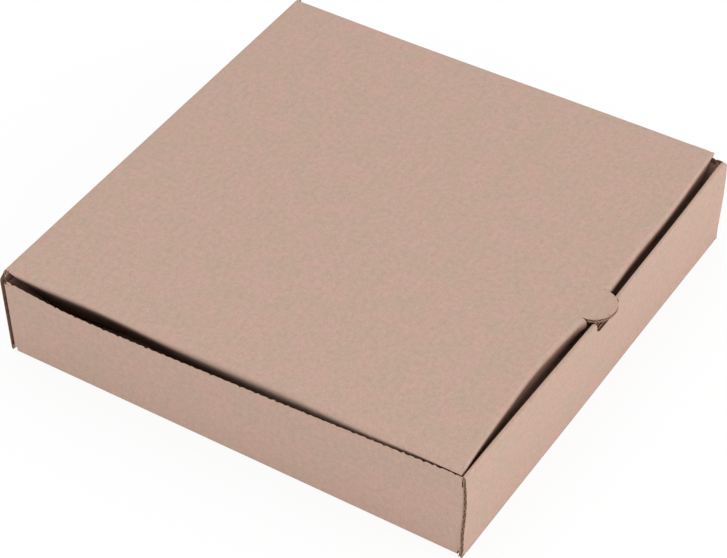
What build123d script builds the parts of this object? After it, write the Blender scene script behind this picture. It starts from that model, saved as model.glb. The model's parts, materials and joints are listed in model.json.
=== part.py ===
"""Small pizza box: one folded sheet of fine-flute cardboard, as a tray and its hinged lid.

Frame: millimetres, +Z up. X runs along the front wall, -Y is the front and +Y the hinge.
The origin is the centre of the tray's underside.
"""
from build123d import *
import os
from math import radians, tan

# The sheet
board = 1.5  # thickness of the corrugated board
crease_radius = 1.8  # outside of an ordinary right-angled fold
inner_crease_radius = crease_radius - board
ply_gap = 0.1  # between plies that lie against each other
play = 0.3  # between the lid and the tray

# The closed box
box_width = 206.0  # outside, along X
box_depth = 206.0  # outside, along Y, without the tab
box_height = 43.0  # top of the closed lid
half_width = box_width / 2
half_depth = box_depth / 2

# Walls of the tray
wall_top = box_height - board - play  # front corners of the side walls, and the back wall
side_top_back = 36.0  # side wall's cut edge beside the hinge
side_top_low = 33.6  # its lowest stretch
side_low_start = 30.0  # from the back wall to the lowest stretch
side_low_end = 48.0
side_front_run = 4.0  # level stretch beside the front wall
tuck_face = half_depth - board - ply_gap  # outer face of the tucked corner flaps
corner_flap_length = 55.0
corner_flap_taper = 5.0
corner_flap_lift = 0.4  # above the base
back_flap_top = side_top_back - 1.0

# Rolled front wall: outer ply, crest, inner ply and the tongues that lock it
crest_width = 2.6
crest_radius = 1.25
roll_thickness = 3 * board + 2 * ply_gap
roll_shoulder_drop = 5.0  # from the crest to where the inner ply is clear of the flaps
front_flap_top = wall_top - roll_shoulder_drop
shoulder_radius = 4.0
tunnel_apex_drop = 1.3  # board left above the tunnel between the plies
lean_at_ends = 0.7  # the crest stands this far out of the base line
lean_at_middle = 2.2
inner_ply_inset = board + play  # the inner ply fits between the side walls
inner_ply_lift = 0.2
tongue_width = 32.0
tongue_spacing = 104.0
slot_play = 0.25

# Opening notch in the crest and the tab that covers it
notch_width = 17.2
notch_depth = 5.7
notch_corner = 4.0
tab_radius = 9.0
tab_reach = 5.2  # of the tab's tip, beyond the front of the box
tab_hole_radius = 9.4

# Lid
lid_under = box_height - board
pivot_drop = board / 2  # the hinge turns at half the board's thickness
hinge_y = half_depth - board / 2
knuckle_radius = board / 2
lid_side_inset = 0.2
lid_front_edge = half_depth - 2.6  # of the corners beside the front flap
front_fold_y = half_depth - roll_thickness - play  # outer face of the front flap at the fold
front_fold_radius = 3.0
front_flap_slant = 6.0  # degrees, leaning into the box
front_flap_half_length = 93.0
flap_drop = 34.0  # how far the lid's flaps reach below its top
front_flap_corner = 8.0
side_flap_back = 98.9  # where the side flaps begin, beside the hinge
side_flap_front = 95.0
side_inset_back = 0.2
side_inset_front = 1.9
side_radius_back = 1.8
side_radius_front = 2.5
side_slant_back = 14.0
side_slant_front = 4.0
side_flap_root = 6.0  # flat strip of the panel that each side flap hangs from
side_flap_front_taper = 16.0
side_flap_back_taper = 5.0
overlap = 1.0  # of neighbouring stretches of the same board


def centred_box(x_size, y_range, z_range):
    """A block that spans x_size about X = 0 and the given ranges in Y and Z."""
    y_low, y_high = y_range
    z_low, z_high = z_range
    block = Box(x_size, y_high - y_low, z_high - z_low, align=(Align.CENTER, Align.MIN, Align.MIN))
    return Pos(0, y_low, z_low) * block


def outline_face(segments):
    """A face from a closed outline given as (point, corner radius) pairs."""
    corners = [point for point, radius in segments]
    face = make_face(Polyline(*corners, close=True))
    for point, radius in segments:
        if radius > 0:
            corner = face.vertices().sort_by_distance(Vector(*point, 0))[0]
            face = fillet(corner, radius)
    return face


def across_x(face, length, centre=0.0):
    """Extrude a (Y, Z) outline along X, centred on the given X."""
    solid = extrude(face, length / 2, both=True)
    return Pos(centre, 0, 0) * Plane.YZ.location * solid


def mirrored_pair(solid):
    """The solid with its mirror image across X = 0."""
    return solid + mirror(solid, about=Plane.YZ)


# Tray ---------------------------------------------------------------------------------------


def base_and_sides():
    """The base panel and both side walls, bent up along their creases."""
    inside = half_width - board
    outline = outline_face([
        ((-half_width, wall_top), 0),
        ((-half_width, 0), crease_radius),
        ((half_width, 0), crease_radius),
        ((half_width, wall_top), 0),
        ((inside, wall_top), 0),
        ((inside, board), inner_crease_radius),
        ((-inside, board), inner_crease_radius),
        ((-inside, wall_top), 0),
    ])
    end = tuck_face - crease_radius
    shell = Plane.XZ.location * extrude(outline, end, both=True)
    return shell - above_side_walls()


def above_side_walls():
    """What the die cuts away above the side walls: low near the hinge, rising to the front."""
    end = half_depth + overlap
    over = box_height + overlap
    profile = make_face(Polyline(
        (-end, over),
        (-end, wall_top),
        (-half_depth + side_front_run, wall_top),
        (half_depth - side_low_end, side_top_low),
        (half_depth - side_low_start, side_top_low),
        (half_depth - board, side_top_back),
        (end, side_top_back),
        (end, over),
        close=True,
    ))
    return across_x(profile, box_width + 2 * overlap)


def base_rims():
    """The base panel's margins, out to the front and back creases."""
    reach = half_depth - crease_radius
    return centred_box(box_width - 2 * crease_radius, (-reach, reach), (0, board))


def corner_flap(front, top):
    """One flap bent from the end of the left side wall and tucked behind the front or back wall."""
    way = -1 if front else 1
    leg = tuck_face - crease_radius - overlap
    inside_x = -half_width + board
    outline = outline_face([
        ((-half_width, way * leg), 0),
        ((-half_width, way * tuck_face), crease_radius),
        ((-half_width + corner_flap_length, way * tuck_face), 0),
        ((-half_width + corner_flap_length, way * (tuck_face - board)), 0),
        ((inside_x, way * (tuck_face - board)), inner_crease_radius),
        ((inside_x, way * leg), 0),
    ])
    low = board + corner_flap_lift
    flap = Pos(0, 0, low) * extrude(outline, top - low)
    return flap - flap_tapers(low, top)


def flap_tapers(low, top):
    """Wedges that taper the free end of a corner flap, above and below."""
    tip = -half_width + corner_flap_length + overlap
    root = tip - corner_flap_taper * 2
    above = Polyline((root, top + overlap), (tip, top + overlap), (tip, top - corner_flap_taper), close=True)
    below = Polyline((root, low - overlap), (tip, low - overlap), (tip, low + corner_flap_taper), close=True)
    wedges = Sketch() + make_face(above) + make_face(below)
    return Plane.XZ.location * extrude(wedges, box_depth, both=True)


def rolled_section(lean):
    """Outline of the front wall's board, from the base crease over the crest to its free edge."""
    front = -half_depth
    crest = front - lean
    inner_face = front + roll_thickness
    shoulder_z = wall_top - roll_shoulder_drop
    apex_z = wall_top - tunnel_apex_drop
    bottom = board + inner_ply_lift
    return outline_face([
        ((front + crease_radius + overlap, 0), 0),
        ((front, 0), crease_radius),
        ((crest, wall_top), crest_radius),
        ((crest + crest_width, wall_top), crest_radius),
        ((inner_face, shoulder_z), shoulder_radius),
        ((inner_face, bottom), 0),
        ((inner_face - board, bottom), 0),
        ((inner_face - board, shoulder_z), shoulder_radius - board),
        ((crest + board + ply_gap, apex_z), 0),
        ((front + board, board), inner_crease_radius),
        ((front + crease_radius + overlap, board), 0),
    ])


def front_wall():
    """The rolled front wall, leaning out most at its middle, with its notch cut through the crest."""
    stations = [(-half_width, lean_at_ends), (0, lean_at_middle), (half_width, lean_at_ends)]
    sections = [Pos(x, 0, 0) * Plane.YZ.location * rolled_section(lean) for x, lean in stations]
    return loft(sections) - inner_ply_ends() - notch()


def inner_ply_ends():
    """Room at both ends of the inner ply, so that it drops between the side walls."""
    crest_back = -half_depth - lean_at_ends + crest_width
    end = Box(inner_ply_inset + overlap, roll_thickness, wall_top, align=(Align.MIN, Align.MIN, Align.MIN))
    return mirrored_pair(Pos(-half_width - overlap, crest_back, board) * end)


def notch():
    """Round-cornered bite through the crest, where a finger lifts the tab."""
    low = wall_top - notch_depth
    over = wall_top + overlap
    side = notch_width / 2
    outline = outline_face([
        ((-side, over), 0),
        ((-side, low), notch_corner),
        ((side, low), notch_corner),
        ((side, over), 0),
    ])
    cutter = Plane.XZ.location * extrude(outline, roll_thickness * 2, both=True)
    return Pos(0, -half_depth, 0) * cutter


def tongues():
    """Two tongues that reach from the inner ply's free edge down into the base's slots."""
    inner_face = -half_depth + roll_thickness
    tongue = Box(tongue_width, board, 3 * board, align=(Align.CENTER, Align.MAX, Align.MIN))
    return mirrored_pair(Pos(tongue_spacing / 2, inner_face, slot_play) * tongue)


def tongue_slots():
    """The slots in the base that take the tongues."""
    inner_face = -half_depth + roll_thickness
    slot = Box(tongue_width + 2 * slot_play, board + 2 * slot_play, board + 2 * overlap,
               align=(Align.CENTER, Align.MAX, Align.MIN))
    return mirrored_pair(Pos(tongue_spacing / 2, inner_face + slot_play, -overlap) * slot)


def back_wall():
    """The back wall, bent up from the base and cut off level under the hinge."""
    outline = outline_face([
        ((half_depth - crease_radius - overlap, 0), 0),
        ((half_depth, 0), crease_radius),
        ((half_depth, wall_top), 0),
        ((half_depth - board, wall_top), 0),
        ((half_depth - board, board), inner_crease_radius),
        ((half_depth - crease_radius - overlap, board), 0),
    ])
    return across_x(outline, box_width)


def tray():
    """Base, walls and tucked flaps, all one sheet."""
    flaps = corner_flap(True, front_flap_top) + corner_flap(False, back_flap_top)
    sheet = base_and_sides() + base_rims() - tongue_slots()
    return sheet + mirrored_pair(flaps) + back_wall() + front_wall() + tongues()


# Lid ----------------------------------------------------------------------------------------


def lid_panel():
    """The flat panel, from the hinge to the bend of the front flap, with its two front corners."""
    flat_end = front_fold_y - front_fold_radius
    inner = centred_box(box_width - 2 * (side_flap_root - overlap), (-flat_end, hinge_y), (lid_under, box_height))
    strip_width = box_width - 2 * lid_side_inset
    rear = centred_box(strip_width, (side_flap_back, hinge_y), (lid_under, box_height))
    corner_width = half_width - front_flap_half_length - side_inset_front
    corner = Box(corner_width, lid_front_edge - side_flap_front, board, align=(Align.MIN, Align.MIN, Align.MIN))
    corners = mirrored_pair(Pos(front_flap_half_length, -lid_front_edge, lid_under) * corner)
    return inner + rear + corners


def knuckle():
    """Rounded rear edge of the lid, on the hinge line."""
    rod = Rot(0, 90, 0) * Cylinder(knuckle_radius, box_width - 2 * lid_side_inset)
    return Pos(0, hinge_y, box_height - pivot_drop) * rod


def side_section(inset, radius, slant):
    """Outline of the left side flap's board at one station, in X and Z."""
    lean = tan(radians(slant))
    edge = -half_width + inset
    root = -half_width + side_flap_root
    foot = edge + flap_drop * lean
    under_edge = edge + board * (1 + lean)
    return outline_face([
        ((root, box_height), 0),
        ((edge, box_height), radius),
        ((foot, box_height - flap_drop), 0),
        ((foot + board, box_height - flap_drop), 0),
        ((under_edge, lid_under), radius - board),
        ((root, lid_under), 0),
    ])


def side_flaps():
    """Both side flaps, slanting into the tray, more so beside the hinge."""
    front = Pos(0, -side_flap_front, 0) * Plane.XZ.location
    back = Pos(0, side_flap_back, 0) * Plane.XZ.location
    sections = [
        front * side_section(side_inset_front, side_radius_front, side_slant_front),
        back * side_section(side_inset_back, side_radius_back, side_slant_back),
    ]
    flap = loft(sections, ruled=True) - side_flap_tapers()
    return mirrored_pair(flap)


def side_flap_tapers():
    """Wedges that taper the ends of the side flaps below the fold."""
    top = box_height - side_radius_front
    low = box_height - flap_drop - overlap
    front = Polyline((-side_flap_front - overlap, top), (-side_flap_front, top),
                     (-side_flap_front + side_flap_front_taper, low), (-side_flap_front - overlap, low), close=True)
    back = Polyline((side_flap_back + overlap, top), (side_flap_back, top),
                    (side_flap_back - side_flap_back_taper, low), (side_flap_back + overlap, low), close=True)
    return across_x(Sketch() + make_face(front) + make_face(back), box_width + 2 * overlap)


def front_flap():
    """The flap tucked behind the front wall, with the hole that the tab was cut from."""
    lean = tan(radians(front_flap_slant))
    edge = -front_fold_y
    root = edge + front_fold_radius + overlap
    foot = edge + flap_drop * lean
    outline = outline_face([
        ((root, box_height), 0),
        ((edge, box_height), front_fold_radius),
        ((foot, box_height - flap_drop), 0),
        ((foot + board, box_height - flap_drop), 0),
        ((edge + board * (1 + lean), lid_under), front_fold_radius - board),
        ((root, lid_under), 0),
    ])
    return across_x(outline, 2 * front_flap_half_length) - tab_hole() - front_flap_corners()


def tab_hole():
    """Half-round hole in the front flap, the same shape as the tab."""
    disc = Rot(90, 0, 0) * Cylinder(tab_hole_radius, 2 * roll_thickness + 2 * front_fold_radius)
    fold = centred_box(2 * tab_hole_radius, (-half_depth, -front_fold_y + front_fold_radius),
                       (lid_under - front_fold_radius, box_height + overlap))
    return Pos(0, -front_fold_y, lid_under) * disc + fold


def front_flap_corners():
    """Slanted cuts at the lower corners of the front flap."""
    low = box_height - flap_drop - overlap
    end = front_flap_half_length + overlap
    cut = make_face(Polyline((end, low + 2 * front_flap_corner), (end, low), (end - front_flap_corner, low), close=True))
    wedge = Plane.XZ.location * extrude(cut, box_depth, both=True)
    return mirrored_pair(wedge)


def tab():
    """The half-round tab that reaches over the notch in the front wall's crest."""
    root_y = -front_fold_y + front_fold_radius + overlap
    centre_y = -half_depth - tab_reach + tab_radius
    tongue = centred_box(2 * tab_radius, (centre_y, root_y), (lid_under, box_height))
    tip = Pos(0, centre_y, lid_under + board / 2) * Cylinder(tab_radius, board)
    return tongue + tip


def lid():
    """Panel, side flaps, front flap and tab, all one sheet."""
    return lid_panel() + knuckle() + side_flaps() + front_flap() + tab()


def main():
    """Write one STEP file for each half of the folded sheet."""
    os.makedirs("parts", exist_ok=True)
    for name, solid in {"tray": tray(), "lid": lid()}.items():
        export_step(solid, f"parts/{name}.step")


main()
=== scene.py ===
"""Small pizza box folded from one sheet of fine-flute kraft board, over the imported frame.

Lengths of the folded sheet are in millimetres here and become metres when a mesh is made.
X runs along the front wall, -Y is the front, +Y the hinge and +Z up.
"""

import json
import logging
import math
from dataclasses import dataclass, field
from enum import Enum
from typing import Callable, Sequence

import bpy
import numpy as np
from mathutils import Matrix, Vector
from mathutils.geometry import delaunay_2d_cdt
from mathutils.kdtree import KDTree

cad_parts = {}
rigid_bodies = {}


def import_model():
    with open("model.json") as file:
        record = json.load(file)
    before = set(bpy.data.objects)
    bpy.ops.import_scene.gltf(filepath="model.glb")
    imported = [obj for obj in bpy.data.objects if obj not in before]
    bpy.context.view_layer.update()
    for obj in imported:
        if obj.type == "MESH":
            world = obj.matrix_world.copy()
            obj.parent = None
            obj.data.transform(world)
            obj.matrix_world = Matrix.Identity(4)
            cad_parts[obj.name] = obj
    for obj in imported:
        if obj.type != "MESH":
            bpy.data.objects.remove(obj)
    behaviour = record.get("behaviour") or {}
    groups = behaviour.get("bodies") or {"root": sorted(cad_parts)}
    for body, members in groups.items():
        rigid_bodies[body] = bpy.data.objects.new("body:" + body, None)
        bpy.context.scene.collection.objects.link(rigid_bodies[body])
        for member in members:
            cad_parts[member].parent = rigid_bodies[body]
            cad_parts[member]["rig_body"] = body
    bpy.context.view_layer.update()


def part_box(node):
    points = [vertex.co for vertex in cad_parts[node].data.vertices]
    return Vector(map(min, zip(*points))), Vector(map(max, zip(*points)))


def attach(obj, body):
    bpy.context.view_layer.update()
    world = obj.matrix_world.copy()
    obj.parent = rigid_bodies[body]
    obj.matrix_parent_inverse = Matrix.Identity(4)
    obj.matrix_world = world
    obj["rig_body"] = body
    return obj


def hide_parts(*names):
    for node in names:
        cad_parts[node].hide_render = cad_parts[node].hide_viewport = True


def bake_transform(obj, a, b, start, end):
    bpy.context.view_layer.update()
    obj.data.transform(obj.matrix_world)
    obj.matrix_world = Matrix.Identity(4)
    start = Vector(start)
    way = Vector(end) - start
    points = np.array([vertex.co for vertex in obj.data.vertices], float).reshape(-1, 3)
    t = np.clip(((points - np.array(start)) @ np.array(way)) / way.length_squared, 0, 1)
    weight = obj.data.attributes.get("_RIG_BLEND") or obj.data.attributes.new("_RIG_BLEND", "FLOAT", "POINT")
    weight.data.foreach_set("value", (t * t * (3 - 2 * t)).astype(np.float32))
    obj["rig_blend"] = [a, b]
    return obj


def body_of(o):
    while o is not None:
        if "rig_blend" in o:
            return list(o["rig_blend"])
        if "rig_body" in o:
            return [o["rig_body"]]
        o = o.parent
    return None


log = logging.getLogger("pizza_box")

MM = 0.001
BEND_SUPPORT = 0.25
"""Rows of points kept this far beside every bend, so that flat runs shade flat."""
LEAST_STEP = 0.12
"""Shortest step along an outline."""
GRID_GAP = 0.3
"""Grid points nearer than this to an outline are left out."""
COLUMN_STEP = 4.0
"""Width of the grid's columns where nothing finer is asked for."""
Colour = tuple[float, float, float]


class Face(Enum):
    """Which of a sheet's finishes a face takes; the value is the material slot."""

    OUTSIDE = 0
    INSIDE = 1
    LINER_EDGE = 2
    FLUTE = 3
    # Flute hollow of a clean cut, coloured in painted shade.
    TUNNEL_SHADE = 4
    # Medium and inner lip of a torn edge, coloured in painted shade.
    SHADE = 5


class Edge(Enum):
    """What a stretch of board does along one run of its outline."""

    CUT = "cut"
    TORN = "torn"
    SEAM = "seam"


@dataclass(frozen=True)
class Board:
    """The corrugated board: two liners with a wavy medium between them."""

    thickness: float = 1.5
    liner: float = 0.13
    recess: float = 0.35
    torn_recess: float = 2.4
    torn_bevel: float = 1.7
    bevel_reach: float = 6.0
    flute_pitch: float = 3.3
    flute_swing: float = 0.33
    medium: float = 0.085
    cut_step: float = 0.55

    def flute_share(self, across: np.ndarray) -> np.ndarray:
        """Where the medium stands in the thickness, from 0 outside to 1 inside."""
        return 0.5 + self.flute_swing * np.sin(2 * math.pi * across / self.flute_pitch)

    def teeth(self, across: np.ndarray) -> np.ndarray:
        """Rag of an edge cut across the flutes: one uneven tooth a flute.

        Args:
            across: places along the edge.

        Returns:
            The rag at each place, from -1 to 1.
        """
        flute = np.floor(across / self.flute_pitch)
        share = across / self.flute_pitch - flute
        size = 0.3 + 0.7 * np.abs(np.sin(flute * 12.9898) * 43758.5453 % 1.0)
        fine = np.sin(across * 5.1) * np.sin(across * 1.7 + 0.4)
        return size * (1 - 2 * np.abs(2 * share - 1) ** 0.6) + 0.3 * fine


BOARD = Board()


def unit(vectors: np.ndarray) -> np.ndarray:
    """The same directions with length one."""
    return vectors / np.maximum(np.linalg.norm(vectors, axis=-1, keepdims=True), 1e-12)


def through(value: float, *stations: tuple[float, float]) -> float:
    """Smooth curve through given stations.

    Args:
        value: where to read the curve.
        stations: (place, height) pairs in rising order of place.

    Returns:
        The height at that place.
    """
    places, heights = (np.array(x, float) for x in zip(*stations))
    slopes = np.gradient(heights, places)
    k = int(np.clip(np.searchsorted(places, value) - 1, 0, len(places) - 2))
    run = places[k + 1] - places[k]
    t = min(1.0, max(0.0, (value - places[k]) / run))
    start, rise = heights[k], heights[k + 1] - heights[k]
    lift, settle = slopes[k] * run, slopes[k + 1] * run
    return float(start + t * (lift + t * (3 * rise - 2 * lift - settle + t * (lift + settle - 2 * rise))))


def along_x(x: float, line: np.ndarray) -> np.ndarray:
    """A section's points in space, for a strip that runs along X."""
    return np.column_stack([np.full(len(line), x), line])


def along_y(y: float, line: np.ndarray) -> np.ndarray:
    """A section's points in space, for a strip that runs along Y."""
    return np.column_stack([line[:, 0], np.full(len(line), y), line[:, 1]])


@dataclass(frozen=True)
class Corner:
    """Where two runs of a folded section would meet, and the radius that rounds them."""

    a: float
    b: float
    radius: float = 0.0


def rounded(corners: Sequence[Corner], runs: Sequence[int], arc_steps: int = 8) -> np.ndarray:
    """Points along a section with rounded corners.

    Args:
        corners: the section's corners, from end to end.
        runs: how many points each straight run gets.
        arc_steps: steps round each rounded corner.

    Returns:
        An (n, 2) array; n depends on the counts only.
    """
    ends = [np.array((c.a, c.b)) for c in corners]
    path, start = [], ends[0]
    for index, (corner, here) in enumerate(zip(corners[1:], ends[1:]), 1):
        stop, arc = here, None
        if corner.radius and index + 1 < len(corners):
            before, after = unit(ends[index - 1] - here), unit(ends[index + 1] - here)
            half = 0.5 * math.acos(float(np.clip(before @ after, -1, 1)))
            turn = max(0.02, math.pi - 2 * half)
            reach = corner.radius * math.tan(0.5 * turn)
            stop, after_arc = here + before * reach, here + after * reach
            share = np.arange(arc_steps)[:, None] / arc_steps
            arc = stop + (after_arc - stop) * share
            if turn > 0.02:
                centre = here + unit(before + after) * corner.radius / math.sin(half)
                arc = centre + (np.sin((1 - share) * turn) * (stop - centre)
                                + np.sin(share * turn) * (after_arc - centre)) / math.sin(turn)
        near = min(0.3, BEND_SUPPORT / max(1e-6, float(np.linalg.norm(stop - start))))
        even = np.arange(runs[index - 1]) / runs[index - 1]
        steps = np.concatenate([[0.0], near + (1 - 2 * near) * even, [1 - near]])[:, None]
        path.append(start + (stop - start) * steps)
        start = stop
        if arc is not None:
            path.append(arc)
            start = after_arc
    path.append(start[None])
    return np.concatenate(path)


@dataclass
class Lattice:
    """Outer face of one folded stretch of board, as section points at a row of stations."""

    us: np.ndarray
    vs: np.ndarray
    grid: np.ndarray
    outward: int
    thin: Callable[[np.ndarray], np.ndarray] | None = None
    normals: np.ndarray = field(init=False)

    def __post_init__(self) -> None:
        """Work out the inward normals of the grid."""
        along_u = np.gradient(self.grid, self.us, axis=0)
        along_v = np.gradient(self.grid, self.vs, axis=1)
        self.normals = -self.outward * unit(np.cross(along_u, along_v))

    @classmethod
    def swept(cls, us: np.ndarray, section: Callable[[float], np.ndarray],
              place: Callable[[float, np.ndarray], np.ndarray], outward: int,
              thin: Callable[[np.ndarray], np.ndarray] | None = None) -> "Lattice":
        """Sweep a section that may change along the way.

        Args:
            us: the stations.
            section: the section's points at a station.
            place: turns a station and its section into points in space.
            outward: 1 if u cross v points out of the board, else -1.
            thin: share of the full thickness at section lengths, where a fold is crushed.

        Returns:
            The lattice, with section lengths taken at the middle station.
        """
        rows = [section(u) for u in us]
        middle = rows[len(rows) // 2]
        steps = np.linalg.norm(np.diff(middle, axis=0), axis=1)
        vs = np.concatenate([[0.0], np.cumsum(steps)])
        grid = np.stack([place(u, row) for u, row in zip(us, rows)])
        return cls(us, vs, grid, outward, thin)

    def at(self, flat: np.ndarray) -> tuple[np.ndarray, np.ndarray]:
        """Fold flat places.

        Args:
            flat: (n, 2) places on the flat sheet.

        Returns:
            Points on the outer face, and inward normals times the thickness there.
        """
        u, v = flat[:, 0], flat[:, 1]
        i = np.clip(np.searchsorted(self.us, u) - 1, 0, len(self.us) - 2)
        j = np.clip(np.searchsorted(self.vs, v) - 1, 0, len(self.vs) - 2)
        s = ((u - self.us[i]) / (self.us[i + 1] - self.us[i]))[:, None]
        t = ((v - self.vs[j]) / (self.vs[j + 1] - self.vs[j]))[:, None]

        def read(table: np.ndarray) -> np.ndarray:
            """Bilinear value of a table on the grid.

            Args:
                table: one value or vector at each grid point.

            Returns:
                The values at the flat places.
            """
            near = table[i, j] * (1 - t) + table[i, j + 1] * t
            far = table[i + 1, j] * (1 - t) + table[i + 1, j + 1] * t
            return near * (1 - s) + far * s

        depth = BOARD.thickness * (self.thin(v) if self.thin else np.ones(len(v)))
        return read(self.grid), unit(read(self.normals)) * depth[:, None]

    def length_to(self, a: float, b: float, after: float = 0.0) -> float:
        """Section length at which the middle station comes nearest to a point of the section plane.

        Args:
            a: first coordinate in the section plane, Y for strips that run along X.
            b: second coordinate, Z.
            after: only lengths past this one count.

        Returns:
            The section length.
        """
        line = self.grid[len(self.us) // 2][:, 1:]
        fine = np.linspace(after, self.vs[-1], 4000)
        spots = np.stack([np.interp(fine, self.vs, line[:, k]) for k in (0, 1)], axis=1)
        return float(fine[np.argmin(np.hypot(spots[:, 0] - a, spots[:, 1] - b))])


@dataclass(frozen=True)
class Mark:
    """A point of a flat outline, and what runs from it to the next one."""

    u: float
    v: float
    edge: Edge = Edge.CUT
    rag: float = 0.0


def cut_arc(u: float, v: float, radius: float, start: float, end: float, steps: int = 8) -> list[Mark]:
    """Marks round an arc of a cut, angles in degrees."""
    angles = [math.radians(start + (end - start) * k / steps) for k in range(steps + 1)]
    return [Mark(u + radius * math.cos(x), v + radius * math.sin(x)) for x in angles]


@dataclass
class Loop:
    """One closed outline, cut finely enough for its edge and for the grid behind it."""

    flat: np.ndarray
    cut: np.ndarray
    torn: np.ndarray

    @classmethod
    def sampled(cls, marks: Sequence[Mark], columns: np.ndarray, rows: np.ndarray, across: int) -> "Loop":
        """Sample an outline.

        Args:
            marks: the outline, with the material on its left.
            columns: grid lines of constant u.
            rows: grid lines of constant v.
            across: the flat axis, 0 or 1, that crosses the flutes.

        Returns:
            The sampled loop.
        """
        points, cuts, torn = [], [], []
        for here, there in zip(marks, [*marks[1:], marks[0]]):
            start, end = np.array((here.u, here.v)), np.array((there.u, there.v))
            run = end - start
            length = float(np.linalg.norm(run))
            if length < 1e-6:
                continue
            shares = [0.0]
            for axis, lines in ((0, columns), (1, rows)):
                if abs(run[axis]) > 1e-9:
                    shares += [float(x) for x in (lines - start[axis]) / run[axis]]
            if here.edge is not Edge.SEAM:
                shares += list(np.arange(BOARD.cut_step, length, BOARD.cut_step) / length)
            shares = sorted(x for x in shares if 0 <= x < 1)
            kept = [0.0]
            for share in shares[1:]:
                if min(share - kept[-1], 1 - share) * length > LEAST_STEP:
                    kept.append(share)
            kept = np.array(kept)
            spots = start + run * kept[:, None]
            if here.rag:
                side = np.array((run[1], -run[0])) / length
                window = np.minimum(1, np.minimum(kept, 1 - kept) * length / 2)
                spots += side * (here.rag * window * BOARD.teeth(spots[:, across]))[:, None]
            points.append(spots)
            cuts += [here.edge is not Edge.SEAM] * len(spots)
            torn += [float(here.edge is Edge.TORN)] * len(spots)
        return cls(np.concatenate(points), np.array(cuts), np.maximum(torn, np.roll(torn, 1)))

    def holds(self, places: np.ndarray) -> np.ndarray:
        """Tell which places lie inside the loop.

        Args:
            places: (n, 2) flat places.

        Returns:
            True for each place inside.
        """
        x, y = places[:, 0], places[:, 1]
        inside = np.zeros(len(places), bool)
        ends = np.roll(self.flat, -1, axis=0)
        for (x0, y0), (x1, y1) in zip(self.flat, ends):
            if y0 != y1:
                crosses = (y0 > y) != (y1 > y)
                inside ^= crosses & (x < (x1 - x0) * (y - y0) / (y1 - y0) + x0)
        return inside


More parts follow.
